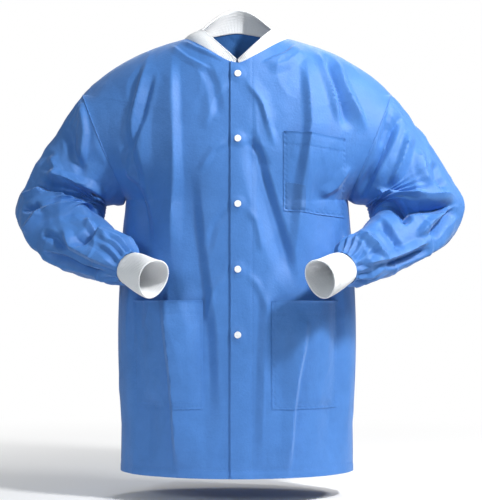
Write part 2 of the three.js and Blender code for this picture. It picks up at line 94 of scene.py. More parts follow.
# The lapped fronts, their snaps and the turned edges
FOLD_X = 0.050
TOP_OVERLAP, UNDER_OVERLAP = 0.0105, 0.013
LAP_LEVEL_X = 0.015  # the lapped layers come down to the body's surface between here and FOLD_X
SNAPPED_LIFT, LOOSE_LIFT = 0.0036, 0.0014
CLOTH, PLACKET_CLOTH = 0.0009, 0.0022
SNAP_X = 0.0015
SNAP_DROPS = [0.072 + 0.1105 * n for n in range(5)]
SNAP_CALM_RADIUS = 0.0125
PLACKET_STITCH_X = 0.026
HEM_TURN, MOUTH_TURN = 0.014, 0.022

ARMHOLE_CENTRE = (SHOULDER + ARMPIT) / 2
ARMHOLE_HALF = (SHOULDER - ARMPIT) / 2
SHOULDER_KNEE = NECK + SHOULDER_ARCH_PLACE * (SHOULDER - NECK)
SHOULDER_KNEE[2] = SHOULDER_ARCH * SHOULDER[2]


def smooth(x, low, high):
    t = np.clip((np.asarray(x, float) - low) / (high - low), 0, 1)
    return t * t * (3 - 2 * t)


def mix(a, b, t):
    return a + (b - a) * t


def bump(x, centre, width):
    """1 at the centre, and next to nothing from two widths away."""
    return np.exp(-(((x - centre) / width) ** 2))


def zigzag(turns):
    """Straight runs between -1 and 1, one down and one up for each turn."""
    return np.abs((turns % 1) * 2 - 1) * 2 - 1


def unit(v):
    return v / np.maximum(np.linalg.norm(v, axis=-1, keepdims=True), 1e-12)


def lines(count):
    return int(count * DETAIL)


def armhole_point(angle):
    """The armhole seam, with 0 at the shoulder and a quarter turn at the front."""
    depth = np.where(np.sin(angle) > 0, ARMHOLE_FRONT_DEPTH, ARMHOLE_BACK_DEPTH)
    point = ARMHOLE_CENTRE + np.cos(angle)[..., None] * ARMHOLE_HALF
    point[..., 1] -= depth * np.sin(angle)
    return point


def side_point(t):
    """The side seam, from the armpit to the hem."""
    swell = WAIST_SWELL * np.sin(np.pi * np.minimum(t * 1.2, 1))
    x = mix(ARMPIT[0], HEM_HALF_WIDTH, smooth(t, 0, 1)) + swell
    return np.stack([x, mix(ARMPIT[1], 0.0, t), mix(ARMPIT[2], -HEM_DROP, t)], -1)


def row_at(face, v):
    """One row of the front or back: its centre, its end, its turn at the end and its slimming."""
    stops = np.array([0, *face["rows"], HEM_DROP - face["neck_drop"]])
    band = np.minimum(np.floor(v), ROW_BANDS - 1).astype(int)
    t = v - band
    below = mix(stops[band], stops[band + 1], t)
    depth = (
        face["neck_depth"]
        + face["swell"] * (1 - np.exp(-below / face["swell_length"]))
        + face["flare"] * below / stops[-1]
    )
    centre = np.stack([0 * v, face["sign"] * depth, -face["neck_drop"] - below], -1)
    slim = SLIMMING * smooth(v, 0, 1) * (1 - smooth(v, *SLIM_FADE_ROWS))
    seam = (
        (1 - t)[..., None] ** 2 * NECK
        + (2 * t * (1 - t))[..., None] * SHOULDER_KNEE
        + t[..., None] ** 2 * SHOULDER
    )
    arm = armhole_point(-face["sign"] * np.pi * t)
    end = np.where((band == 0)[..., None], seam, np.where((band == 1)[..., None], arm, side_point(t)))
    turn = np.where(band == 1, RIGHT_ANGLE - ARMHOLE_TURN * np.sin(np.pi * t), RIGHT_ANGLE)
    return centre, end, turn, slim


def body_point(face, v, angle):
    centre, end, turn, slim = row_at(face, v)
    share = np.sin(angle) / np.sin(turn)
    eased = (np.hypot(share, ROW_END_EASE) - ROW_END_EASE) / (math.hypot(1, ROW_END_EASE) - ROW_END_EASE)
    fall = np.maximum(np.cos(angle) - np.cos(turn), 0) / (1 - np.cos(turn))
    y = mix(end[..., 1], centre[..., 1], fall ** (1 + slim))
    return np.stack([end[..., 0] * share, y, mix(centre[..., 2], end[..., 2], eased)], -1)


def angle_at_x(face, v, x):
    _, end, turn, _ = row_at(face, v)
    return np.arcsin(np.clip(x * np.sin(turn) / end[..., 0], -1, 1))


def grid_normals(points, wrapped=False):
    """Outward normals of a grid whose rows go down and whose columns go to the right."""
    if wrapped:
        across = np.roll(points, -1, 1) - np.roll(points, 1, 1)
    else:
        across = np.gradient(points, axis=1)
    return unit(np.cross(np.gradient(points, axis=0), across))


def front_at(x, z):
    """The front's surface and normal at places seen from the front, for x up to the side."""
    x, z = np.broadcast_arrays(np.asarray(x, float), np.asarray(z, float))

    def place(v, at_x):
        v = np.clip(v, 0, ROW_BANDS)
        return body_point(FRONT, v, angle_at_x(FRONT, v, at_x))

    low, high = np.zeros_like(x), np.full_like(x, float(ROW_BANDS))
    for _ in range(34):
        middle = (low + high) / 2
        reached = (row_at(FRONT, middle)[1][..., 0] > x) & (place(middle, x)[..., 2] < z)
        low, high = np.where(reached, low, middle), np.where(reached, middle, high)
    step = 1e-3
    down = place(low + step, x) - place(low - step, x)
    across = place(low, x + step) - place(low, x - step)
    return place(low, x), unit(np.cross(down, across))


# ------------------------------------------------------------------------------------------------
# Folds and creases
FOLD_GAIN, LEAN_GAIN = 1.5, 1.3
FADE_SHARE = 0.25  # the share of a fold's length over which each end fades
BODY_FOLD_SHARE, SLEEVE_FOLD_SHARE = 1.4, 1.9
BODY_CRUMPLE = 0.35, 0.3  # amount, and how far it wanders
SLEEVE_CRUMPLE = 1.1, 0.6
POCKET_CRUMPLE = 0.3, 0.3


def fold_height(x, z, line, width, height, crisp, lean):
    """A ridge, or a valley if the height is negative, along a line of (x, z) points in millimetres."""
    line = np.array(line, float) / 1000
    best = np.full(x.shape, 1e9)
    side = np.zeros(x.shape)
    along = np.zeros(x.shape)
    lengths = np.linalg.norm(np.diff(line, axis=0), axis=1)
    total = lengths.sum()
    done = 0.0
    for (ax, az), (bx, bz), length in zip(line[:-1], line[1:], lengths):
        ux, uz = (bx - ax) / length, (bz - az) / length
        t = np.clip((x - ax) * ux + (z - az) * uz, 0, length)
        dx, dz = x - ax - t * ux, z - az - t * uz
        distance = np.hypot(dx, dz)
        closer = distance < best
        best = np.where(closer, distance, best)
        side = np.where(closer, np.sign(dx * uz - dz * ux), side)
        along = np.where(closer, (done + t) / total, along)
        done += length
    reach = width / 1000 * (1 + LEAN_GAIN * lean * side)
    a = np.clip(best / reach, 0, 1)
    shape = mix((1 - a * a) ** 2, (1 - a) ** 1.2, crisp)
    ends = smooth(along, 0, FADE_SHARE) * (1 - smooth(along, 1 - FADE_SHARE, 1))
    return height / 1000 * shape * ends


def sampled(value, points, scale, stretch, shift):
    sx, sy, sz = (s * scale for s in stretch)
    values = [value((x * sx + shift, y * sy, z * sz)) for x, y, z in points.reshape(-1, 3).tolist()]
    return np.array(values).reshape(points.shape[:-1])


def waves(points, scale, stretch=(1, 1, 1), shift=0.0):
    return sampled(noise.noise, points, scale, stretch, shift)


def facets(points, scale, stretch=(1, 1, 1), shift=0.0):
    """The crumpled look of stiff nonwoven: flat facets that meet in crisp lines."""

    def inside(place):
        nearest, second = noise.voronoi(place)[0][:2]
        return second - nearest

    return sampled(inside, points, scale, stretch, shift)


# Lines of (x, z) in millimetres, then width, height, crispness and lean.
BODY_FOLDS = [
    ([(-112, -20), (-108, -150), (-104, -250), (-112, -400)], 26, 5.0, 0.9, 0.35),
    ([(-150, -30), (-178, -150), (-184, -270)], 22, 4.5, 0.9, -0.4),
    ([(-186, -160), (-168, -260), (-148, -370)], 18, -4.5, 0.8, 0.2),
    ([(-140, -60), (-160, -140), (-190, -225)], 14, -4.0, 0.8, 0.3),
    ([(-58, -50), (-40, -90), (-30, -150)], 14, -2.0, 0.5, 0.0),
    ([(-84, -210), (-68, -369), (-50, -520), (-44, -700)], 26, -4.0, 0.3, 0.2),
    ([(-118, -420), (-107, -560), (-97, -770)], 30, 7.0, 1.0, -0.5),
    ([(-160, -420), (-150, -560), (-156, -757)], 30, -4.0, 0.3, 0.0),
    ([(-196, -300), (-180, -420), (-190, -560)], 18, 3.0, 0.8, 0.3),
    ([(117, -20), (124, -156), (105, -267), (97, -400)], 24, 5.5, 0.9, -0.4),
    ([(16, -150), (50, -262), (84, -372), (98, -440)], 24, -6.0, 0.6, 0.35),
    ([(50, -62), (86, -50), (120, -20)], 16, 2.5, 0.6, 0.0),
    ([(150, -20), (172, -90), (190, -170)], 18, -5.5, 0.8, -0.3),
    ([(168, -26), (190, -97), (224, -170)], 16, 5.0, 0.9, 0.3),
    ([(136, -20), (160, -90), (182, -160)], 13, 3.5, 0.9, 0.0),
    ([(114, -470), (97, -590), (83, -770)], 28, 7.0, 1.0, 0.5),
    ([(54, -394), (46, -540), (41, -757)], 22, 3.5, 0.6, -0.3),
    ([(165, -380), (172, -500), (160, -757)], 30, -4.5, 0.4, 0.0),
    ([(192, -300), (180, -420), (190, -560)], 18, 3.0, 0.8, -0.3),
    ([(-100, -8), (-66, -26), (-18, -46)], 7, 2.2, 0.95, 0.0),
    ([(-118, -14), (-84, -42), (-40, -66)], 8, 1.6, 0.9, 0.3),
    ([(-8, -78), (-38, -112), (-56, -170)], 14, 1.4, 0.7, 0.3),
    ([(110, -10), (84, -34), (40, -54)], 8, 1.8, 0.9, -0.3),
    ([(22, -90), (44, -124), (66, -200)], 9, 2.0, 0.9, 0.0),
    ([(10, -80), (40, -112), (56, -170)], 14, 1.4, 0.7, -0.3),
    ([(-12, -182), (-40, -200), (-66, -240)], 10, 1.4, 0.8, 0.0),
    ([(14, -186), (40, -204), (56, -240)], 10, -1.6, 0.8, 0.0),
    ([(12, -296), (34, -322), (44, -380)], 10, 1.6, 0.8, 0.0),
    ([(-14, -300), (-38, -330), (-52, -380)], 10, -1.6, 0.8, 0.0),
    ([(14, -408), (36, -430), (54, -480)], 10, 1.4, 0.8, 0.0),
    ([(-14, -408), (-40, -440), (-56, -500)], 10, 1.6, 0.8, 0.0),
    ([(196, -225), (168, -260), (138, -280)], 12, 3.0, 0.8, 0.2),
    ([(-196, -225), (-170, -256), (-150, -300)], 12, 3.0, 0.8, -0.2),
]
BACK_FOLDS = [
    ([(-120, -60), (-100, -200), (-110, -420), (-95, -757)], 40, 9.0, 0.3, 0.2),
    ([(120, -60), (96, -220), (112, -430), (92, -757)], 40, 9.0, 0.3, -0.2),
    ([(0, -60), (8, -300), (-6, -757)], 46, -6.0, 0.1, 0.0),
    ([(-170, -200), (-150, -360), (-160, -757)], 34, -7.0, 0.2, 0.0),
    ([(170, -200), (150, -350), (158, -757)], 34, -7.0, 0.2, 0.0),
    ([(-55, -380), (-48, -560), (-56, -757)], 30, 6.0, 0.3, 0.0),
    ([(58, -360), (46, -560), (52, -757)], 30, 6.0, 0.3, 0.0),
    ([(-200, -150), (-120, -210), (-30, -235)], 24, 3.5, 0.5, 0.3),
    ([(200, -150), (120, -200), (30, -222)], 24, 3.5, 0.5, -0.3),
    ([(-190, -260), (-120, -310), (-50, -330)], 22, 3.0, 0.5, 0.0),
    ([(190, -270), (120, -316), (40, -345)], 22, 3.0, 0.5, 0.0),
]
# Those of the right sleeve have x below 0, as it is at the viewer's left.
RIGHT_SLEEVE_FOLDS = [
    ([(-221, -66), (-205, -150), (-196, -207)], 15, -5.0, 0.6, 0.3),
    ([(-245, -80), (-228, -150), (-218, -220)], 13, 3.5, 0.6, -0.3),
    ([(-268, -100), (-262, -170), (-270, -235)], 15, 3.5, 0.5, 0.3),
    ([(-300, -140), (-285, -190), (-262, -250)], 14, -3.0, 0.6, 0.0),
    ([(-350, -252), (-337, -260), (-299, -267), (-257, -282), (-232, -306)], 13, -8.0, 0.75, -0.35),
    ([(-345, -238), (-300, -246), (-255, -262), (-226, -286)], 14, 4.5, 0.6, 0.0),
    ([(-376, -280), (-352, -272), (-333, -262)], 9, 4.0, 0.8, 0.0),
    ([(-345, -306), (-320, -300), (-284, -294), (-236, -303)], 12, 5.0, 0.8, 0.3),
    ([(-334, -300), (-348, -322), (-366, -345)], 11, 4.5, 0.8, 0.0),
    ([(-372, -300), (-350, -300), (-338, -290)], 9, -4.0, 0.8, 0.0),
    ([(-232, -325), (-250, -348), (-274, -368)], 12, -5.5, 0.7, 0.3),
    ([(-300, -330), (-280, -366), (-240, -385), (-200, -402)], 12, 4.5, 0.7, -0.3),
    ([(-340, -372), (-296, -384), (-262, -402), (-205, -412)], 11, -4.5, 0.7, 0.3),
    ([(-335, -340), (-310, -350), (-290, -372)], 11, -3.5, 0.7, 0.0),
    ([(-262, -318), (-240, -335), (-214, -350)], 9, 3.0, 0.8, 0.0),
    ([(-325, -205), (-312, -232), (-318, -252)], 12, 3.0, 0.6, 0.0),
]
LEFT_SLEEVE_FOLDS = [
    ([(178, -70), (190, -120), (204, -206)], 15, -6.0, 0.6, -0.3),
    ([(236, -84), (232, -150), (222, -220)], 14, 4.5, 0.6, 0.3),
    ([(290, -130), (264, -185), (241, -228), (210, -288)], 14, -5.5, 0.75, 0.35),
    ([(300, -160), (284, -215), (262, -262)], 13, 4.0, 0.6, -0.3),
    ([(258, -104), (256, -160), (244, -200)], 12, -3.0, 0.6, 0.0),
    ([(236, -262), (272, -276), (321, -281), (388, -276)], 12, 7.0, 0.8, 0.35),
    ([(250, -292), (290, -297), (345, -296), (388, -290)], 11, -8.0, 0.8, 0.2),
    ([(262, -282), (278, -300), (296, -326)], 12, -5.5, 0.7, 0.0),
    ([(386, -296), (354, -318), (326, -348)], 12, -6.5, 0.75, -0.35),
    ([(366, -300), (334, -322), (306, -350)], 11, 4.0, 0.7, 0.0),
    ([(336, -352), (292, -372), (250, -387), (200, -395)], 10, 4.0, 0.85, 0.3),
    ([(332, -366), (290, -386), (246, -400)], 10, -4.0, 0.75, 0.0),
    ([(192, -334), (221, -355), (252, -390)], 11, 4.5, 0.8, -0.3),
    ([(240, -318), (262, -345), (280, -372)], 12, -4.0, 0.7, 0.2),
    ([(318, -190), (322, -230), (336, -262)], 13, 3.0, 0.6, 0.2),
    ([(345, -215), (350, -245), (368, -268)], 11, -3.0, 0.6, 0.0),
]
SLEEVE_BACK_FOLDS = [
    ([(225, -80), (240, -160), (262, -235)], 18, 4.0, 0.5, 0.3),
    ([(262, -100), (280, -180), (312, -240)], 18, -4.0, 0.5, 0.0),
    ([(300, -140), (318, -210), (350, -262)], 16, 3.5, 0.6, 0.0),
    ([(300, -290), (345, -300), (384, -320)], 14, 5.0, 0.7, 0.3),
    ([(290, -320), (330, -336), (368, -350)], 14, -5.0, 0.7, 0.0),
    ([(240, -330), (290, -352), (340, -372)], 14, 4.5, 0.6, 0.0),
    ([(215, -262), (250, -285), (300, -300)], 14, -5.0, 0.7, 0.0),
]


def folds_seen(points, facing, folds):
    """Height of the folds on what faces the side that they were drawn from."""
    x, z = points[..., 0], points[..., 2]
    total = sum(fold_height(x, z, *fold) for fold in folds)
    return FOLD_GAIN * total * smooth(facing, 0.15, 0.6)


def crumple(points, amount, wander):
    """Soft waves and small crisp facets, the same for any sheet that passes through a place."""
    warp = waves(points, 11, shift=9.0)[..., None] * np.array([0.020, 0.020, 0.035]) * wander
    bent = points + warp
    broad = waves(bent, 9, (1, 1, 0.4), 4.0) * 0.0030
    ridged = 1 - np.abs(waves(bent, 10, (1.2, 1.2, 0.5), 2.0)) * 2.2
    small = waves(bent, 30, (1, 1, 0.6), 1.0) * 0.0010
    crisp = (facets(bent, 15, (1, 1, 0.5)) - 0.25) * 0.0050 + np.clip(ridged, 0, 1) ** 4 * 0.0030
    crisp += (facets(points, 34, (1, 0.8, 0.6), 3.0) - 0.25) * 0.0016
    return (broad + small + crisp) * amount


# ------------------------------------------------------------------------------------------------
# Meshes, and how each piece joins the coat


def mesh_object(name, vertices, quads, material, uv=None, sharp=0):
    """A smooth mesh of quads, with hard edges where it turns by more than the sharp angle."""
    mesh = bpy.data.meshes.new(name)
    mesh.vertices.add(len(vertices))
    mesh.vertices.foreach_set("co", np.asarray(vertices, np.float32).ravel())
    quads = np.asarray(quads, np.int32)
    mesh.loops.add(quads.size)
    mesh.loops.foreach_set("vertex_index", quads.ravel())
    mesh.polygons.add(len(quads))
    mesh.polygons.foreach_set("loop_start", np.arange(0, quads.size, quads.shape[1], dtype=np.int32))
    mesh.update(calc_edges=True)
    if uv is not None:
        layer = mesh.uv_layers.new(name="Cut")
        layer.data.foreach_set("uv", np.asarray(uv, np.float32)[quads.ravel()].ravel())
    mesh.shade_smooth()
    if sharp:
        mesh.set_sharp_from_angle(angle=math.radians(sharp))
    mesh.materials.append(material)
    made = bpy.data.objects.new(name, mesh)
    bpy.context.collection.objects.link(made)
    return made


def path_distances(path):
    return np.concatenate([[0], np.cumsum(np.linalg.norm(np.diff(path, axis=0), axis=1))])


def sheet_object(name, outer, thickness, material, wrapped=False, sharp=50):
    """A closed sheet: the outer face is the grid, and the inner face lies a thickness behind."""
    rows, columns, _ = outer.shape
    normals = grid_normals(outer, wrapped)
    thickness = np.broadcast_to(thickness, (rows, columns))
    inner = outer - normals * thickness[..., None]
    index = np.arange(rows * columns).reshape(rows, columns)
    right = np.roll(index, -1, 1) if wrapped else index[:, 1:]
    left = index if wrapped else index[:, :-1]
    behind = rows * columns

    def face(*corners):
        return np.stack([corner.ravel() for corner in corners], -1)

    def rim(a, b):
        return face(a, b, b + behind, a + behind)

    a, b, c, d = left[:-1], left[1:], right[1:], right[:-1]
    quads = [face(a, b, c, d), face(d + behind, c + behind, b + behind, a + behind)]
    quads += [rim(left[0], right[0]), rim(right[-1], left[-1])]
    if not wrapped:
        near, far = index[:, 0], index[:, -1]
        quads += [rim(near[1:], near[:-1]), rim(far[:-1], far[1:])]
    u = path_distances(outer[rows // 2])
    v = path_distances(outer[:, columns // 2])
    uv = np.stack(np.meshgrid(u, -v), -1).reshape(-1, 2)
    vertices = np.concatenate([outer.reshape(-1, 3), inner.reshape(-1, 3)])
    return mesh_object(name, vertices, np.concatenate(quads), material, np.concatenate([uv, uv]), sharp)


def tube_object(name, paths, radius, material, sides):
    """Thin cords along paths, used for seam edges and stitches. They narrow at their ends."""
    vertices, quads = [], []
    start = 0
    turns = np.arange(sides) * 2 * np.pi / sides
    for path in paths:
        path = np.asarray(path, float)
        count = len(path)
        tangent = unit(np.gradient(path, axis=0))
        guide = np.where(np.abs(tangent[:, 1:2]) > 0.9, [[1.0, 0, 0]], [[0, 1.0, 0]])
        side = unit(np.cross(tangent, guide))
        other = np.cross(tangent, side)
        radii = np.full(count, radius)
        radii[0] = radii[-1] = radius * 0.15
        ring = np.cos(turns)[:, None] * side[:, None] + np.sin(turns)[:, None] * other[:, None]
        vertices.append((path[:, None] + ring * radii[:, None, None]).reshape(-1, 3))
        for j in range(count - 1):
            a, b = start + j * sides, start + (j + 1) * sides
            for i in range(sides):
                k = (i + 1) % sides
                quads.append((a + i, a + k, b + k, b + i))
        for j, flip in ((0, 1), (count - 1, -1)):
            cap = [start + j * sides + i for i in range(sides)][::-flip]
            for i in range(1, sides - 1, 2):
                quads.append((cap[0], cap[i], cap[i + 1], cap[(i + 2) % sides]))
        start += count * sides
    return mesh_object(name, np.concatenate(vertices), quads, material)


def turned_over(points, side):
    """A sheet's grid on its own side of the coat, its columns still going to the right."""
    return points if side > 0 else points[:, ::-1] * [-1, 1, 1]


def flipped(path, side):
    return path * np.array([side, 1, 1])


def run_down(points):
    """Distance down each column of a grid from its first row."""
    return np.linalg.norm(np.diff(points, axis=0, prepend=points[:1]), axis=-1).cumsum(0)


def riding(piece, body, slot, *nodes):
    """Puts a piece on one body, in place of its CAD nodes."""
    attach(piece, body)
    if nodes:
        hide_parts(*nodes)
    return piece


def opening(piece, side, slot, *nodes):
    """Puts a piece of a front on the coat, with its transform baked, in place of its CAD nodes."""
    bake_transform(piece)
    if nodes:
        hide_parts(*nodes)
    return piece


# ------------------------------------------------------------------------------------------------
# Materials


def node_material(name):
    material = bpy.data.materials.new(name)
    material.use_nodes = True
    tree = material.node_tree
    tree.nodes.clear()
    out = tree.nodes.new("ShaderNodeOutputMaterial")
    shader = tree.nodes.new("ShaderNodeBsdfPrincipled")
    tree.links.new(shader.outputs[0], out.inputs[0])
    return material, tree, shader


def add(tree, kind, source=None, **inputs):
    """A node with its first input linked, and others set by name."""
    node = tree.nodes.new(kind)
    if source is not None:
        tree.links.new(source, node.inputs[0])
    for key, value in inputs.items():
        node.inputs[key.replace("_", " ")].default_value = value
    return node


def noise_node(tree, place, scale, detail, roughness=0.5, distortion=0.0):
    made = add(
        tree, "ShaderNodeTexNoise", place,
        Scale=scale, Detail=detail, Roughness=roughness, Distortion=distortion,
    )
    return made.outputs[0]


def between(tree, source, low, high):
    """A value from low to high, as the source goes from 0 to 1."""
    return add(tree, "ShaderNodeMapRange", source, To_Min=low, To_Max=high).outputs[0]


def ramp(tree, source, dark, light, start=0.3):
    node = add(tree, "ShaderNodeValToRGB", source)
    for element, place, colour in zip(node.color_ramp.elements, (start, 0.7), (dark, light)):
        element.position = place
        element.color = (*colour, 1)
    return node.outputs[0]


def raised(tree, source, strength, distance, under=None):
    """Bumps, over those of another bump node if one is under it."""
    node = add(tree, "ShaderNodeBump", Strength=strength, Distance=distance)
    tree.links.new(source, node.inputs["Height"])
    if under is not None:
        tree.links.new(under, node.inputs["Normal"])
    return node.outputs[0]


def finish_shader(tree, shader, colour, roughness, normal=None, **constants):
    link = tree.links.new
    link(colour, shader.inputs["Base Color"])
    if normal is not None:
        link(normal, shader.inputs["Normal"])
    if isinstance(roughness, float):
        shader.inputs["Roughness"].default_value = roughness
    else:
        link(roughness, shader.inputs["Roughness"])
    for key, value in constants.items():
        shader.inputs[key.replace("_", " ")].default_value = value


def cloth_material(name, tint=1.0):
    """Blue spunbond nonwoven: short random fibres pressed flat, with a fine grid of bonded dots."""
    material, tree, shader = node_material(name)
    place = tree.nodes.new("ShaderNodeTexCoord")
    flat = add(tree, "ShaderNodeMapping", place.outputs["UV"], Rotation=(0, 0, 0.785)).outputs[0]
    clouds = noise_node(tree, place.outputs["Object"], 30.0, 8.0, 0.72)
    dark, light = np.array([0.034, 0.155, 0.455]) * tint, np.array([0.048, 0.190, 0.530]) * tint
    fibres = noise_node(tree, flat, 900.0, 4.0, 0.7, distortion=1.2)
    dots = add(tree, "ShaderNodeTexVoronoi", flat, Scale=620.0, Randomness=0.25)
    puckers = noise_node(tree, place.outputs["Object"], 260.0, 4.0, 0.6)
    weave = add(tree, "ShaderNodeMath", dots.outputs["Distance"])
    weave.operation = "MULTIPLY_ADD"
    weave.inputs[1].default_value = 0.7
    tree.links.new(fibres, weave.inputs[2])
    fine = raised(tree, weave.outputs[0], 0.22, 0.0003)
    finish_shader(
        tree, shader,
        colour=ramp(tree, clouds, dark, light),
        roughness=between(tree, fibres, 0.52, 0.72),
        normal=raised(tree, puckers, 0.45, 0.0012, fine),
        Specular_IOR_Level=0.6, Sheen_Weight=0.22, Sheen_Roughness=0.45, Sheen_Tint=(0.75, 0.86, 1.0, 1),
    )
    return material


def knit_material(name):
    """White rib knit: fuzzy yarn, with a row of loops across the ribs."""
    material, tree, shader = node_material(name)
    place = tree.nodes.new("ShaderNodeTexCoord")
    fuzz = noise_node(tree, place.outputs["Object"], 1500.0, 4.0, 0.7)
    loops = add(tree, "ShaderNodeTexWave", place.outputs["UV"], Scale=210.0, Distortion=1.5, Detail=1.0)
    loops.bands_direction = "Y"
    stitch = raised(tree, loops.outputs["Fac"], 0.5, 0.0004)
    finish_shader(
        tree, shader,
        colour=ramp(tree, fuzz, (0.72, 0.74, 0.76), (0.88, 0.89, 0.90), 0.25),
        roughness=0.9,
        normal=raised(tree, fuzz, 0.3, 0.0002, stitch),
        Sheen_Weight=0.4, Sheen_Roughness=0.6,
    )
    return material


def plastic_material(name):
    """White moulded plastic, a little scuffed."""
    material, tree, shader = node_material(name)
    place = tree.nodes.new("ShaderNodeTexCoord")
    specks = noise_node(tree, place.outputs["Object"], 300.0, 3.0)
    finish_shader(
        tree, shader,
        colour=ramp(tree, specks, (0.80, 0.82, 0.83), (0.86, 0.87, 0.88)),
        roughness=between(tree, specks, 0.24, 0.42),
        IOR=1.5,
    )
    return material


blue = cloth_material("blue_nonwoven")
# A copy of the blue cloth darkened to 0.78, as painted shade for where the pocket's cloth lies doubled.
blue_painted_shade = cloth_material("blue_nonwoven_painted_shade", 0.78)
knit = knit_material("white_rib_knit")
plastic = plastic_material("white_snap_plastic")
thread = cloth_material("blue_thread", 0.9)

# ------------------------------------------------------------------------------------------------
# Body sheets
FRONT_ROWS, LAPPED_COLUMNS, FRONT_COLUMNS = 290, 34, 100
BACK_ROWS, BACK_COLUMNS = 240, 200


def armhole_distance(points):
    """Distance to the nearer armhole seam."""
    folded = points.copy()
    folded[..., 0] = np.abs(folded[..., 0])
    best = np.full(points.shape[:-1], 1e9)
    for place in armhole_point(np.linspace(0, 2 * np.pi, 72, endpoint=False)):
        best = np.minimum(best, np.linalg.norm(folded - place, axis=-1))
    return best


def seam_calm(points):
    """1 inside a panel, and 0 along the armhole, the neckline and the shoulder."""
    return smooth(armhole_distance(points), 0.0, 0.02) * smooth(run_down(points), -0.004, 0.012)


def hem_height(below_edge, depth=HEM_TURN):
    """A turned hem: a stitched groove, and a slightly raised double band out to the edge."""
    groove = -0.0007 * bump(below_edge, depth, 0.0016)
    return groove + 0.0007 * (1 - smooth(below_edge, depth - 0.003, depth))


def front_grid(side):
    """A front with its lapped edge and its thickness: the wearer's left for side 1, right for -1."""
    overlap, lift = (TOP_OVERLAP, SNAPPED_LIFT) if side > 0 else (UNDER_OVERLAP, -SNAPPED_LIFT)
    rows = np.linspace(0, ROW_BANDS, lines(FRONT_ROWS))
    v, x = np.meshgrid(rows, np.linspace(-overlap, FOLD_X, lines(LAPPED_COLUMNS)), indexing="ij")
    lapped = body_point(FRONT, v, angle_at_x(FRONT, v, x))
    start = angle_at_x(FRONT, rows, FOLD_X)
    turn = row_at(FRONT, rows)[2]
    share = np.linspace(0, 1, lines(FRONT_COLUMNS))[1:]
    angles = mix(start[:, None], turn[:, None], share)
    v = np.repeat(rows[:, None], len(share), 1)
    points = np.concatenate([lapped, body_point(FRONT, v, angles)], 1)
    normals = grid_normals(points)
    snaps = 0
    for drop in SNAP_DROPS:
        away = np.hypot(side * points[..., 0] - SNAP_X, points[..., 2] + drop)
        snaps = snaps + np.exp(-((away / SNAP_CALM_RADIUS) ** 4))
    lapping = 1 - smooth(points[..., 0], LAP_LEVEL_X, FOLD_X)
    points = points + normals * (mix(LOOSE_LIFT * side, lift, snaps) * lapping)[..., None]
    world = flipped(points, side)
    x = points[..., 0]
    calm = (0.3 + 0.7 * smooth(np.abs(x), 0.0, 0.030)) * (1 - 0.97 * snaps) * seam_calm(points)
    height = BODY_FOLD_SHARE * folds_seen(world, -normals[..., 1], BODY_FOLDS)
    height = (height + crumple(world, *BODY_CRUMPLE)) * calm
    down = run_down(points)
    height += hem_height(down[-1:] - down)
    if side > 0:
        height += 0.0002 * (1 - smooth(x, PLACKET_STITCH_X - 0.003, PLACKET_STITCH_X))
        height -= 0.0003 * bump(x, PLACKET_STITCH_X, 0.0014)
    points = points + normals * height[..., None]
    return points, mix(PLACKET_CLOTH, CLOTH, smooth(points[..., 0], 0.020, 0.030))


def back_grid():
    rows = np.linspace(0, ROW_BANDS, lines(BACK_ROWS))
    share = np.linspace(1, -1, lines(BACK_COLUMNS))
    v = np.repeat(rows[:, None], len(share), 1)
    points = body_point(BACK, v, row_at(BACK, rows)[2][:, None] * share)
    normals = grid_normals(points)
    down = run_down(points)
    folded = folds_seen(points, normals[..., 1], BACK_FOLDS) + crumple(points, *BODY_CRUMPLE)
    height = folded * seam_calm(points) + hem_height(down[-1:] - down)
    return points + normals * height[..., None]


front_grids, fronts = {}, {}
for side, name in SIDES.items():
    front_grids[side], thickness = front_grid(side)
    outer = turned_over(front_grids[side], side)
    fronts[side] = sheet_object(f"{name}_front", outer, thickness[:, ::side], blue)
back = back_grid()
back_sheet = sheet_object("back", back, CLOTH, blue)
for side, name in SIDES.items():
    opening(fronts[side], side, "coat_cloth", f"{name}_front_panel", f"{name}_front_edge")
riding(back_sheet, "coat_body", "coat_cloth", "back_panel")

# ------------------------------------------------------------------------------------------------
# Sleeves
ELBOW = np.array([0.377, 0.042, -0.324])
WRIST = np.array([0.179, -0.152, -0.402])
BEND = 0.089
UPPER_RADIUS, UPPER_DEPTH = 0.082, 0.070
FOREARM_RADIUS, FOREARM_DEPTH = 0.049, 0.042
GATHERED_RADIUS, GATHER_LENGTH = 0.028, 0.042
CAP_LENGTH = 0.075  # where the round of the armhole has become the round of the sleeve
SLEEVE_ROWS, SLEEVE_COLUMNS = 190, 240
UPPER = unit(ELBOW - ARMHOLE_CENTRE)
FOREARM = unit(WRIST - ELBOW)
ELBOW_TURN = math.acos(float(UPPER @ FOREARM))
TANGENT = BEND * math.tan(ELBOW_TURN / 2)
AXIS = unit(np.cross(UPPER, FOREARM))
ARC_START = ELBOW - TANGENT * UPPER
ARC_END = ELBOW + TANGENT * FOREARM
UPPER_LENGTH = float(np.linalg.norm(ARC_START - ARMHOLE_CENTRE))
ARC_LENGTH = BEND * ELBOW_TURN
SLEEVE_LENGTH = UPPER_LENGTH + ARC_LENGTH + float(np.linalg.norm(WRIST - ARC_END))
ELBOW_DISTANCE = UPPER_LENGTH + ARC_LENGTH / 2
CROOK = ARC_START + BEND * np.cross(AXIS, UPPER)
ARMHOLE_UP = unit(ARMHOLE_HALF)
RING_PHASE = math.atan2(float(ARMHOLE_UP @ -AXIS), float(ARMHOLE_UP @ np.cross(UPPER, AXIS)))

# Each sleeve as seen from the front: the upper arm, the elbow and the forearm.
OUTLINES = {
    1: [(0.278, -0.080), (0.413, -0.290), (0.366, -0.360), (0.262, -0.418), (0.200, -0.428)],
    -1: [(0.270, -0.090), (0.396, -0.298), (0.358, -0.366), (0.290, -0.410), (0.200, -0.428)],
}
OUTLINE_SOFTNESS = 0.0035
POINT_HEIGHT, POINT_SPREAD, POINT_LENGTH = -0.288, 0.028, 0.012  # the left elbow's pointed corner


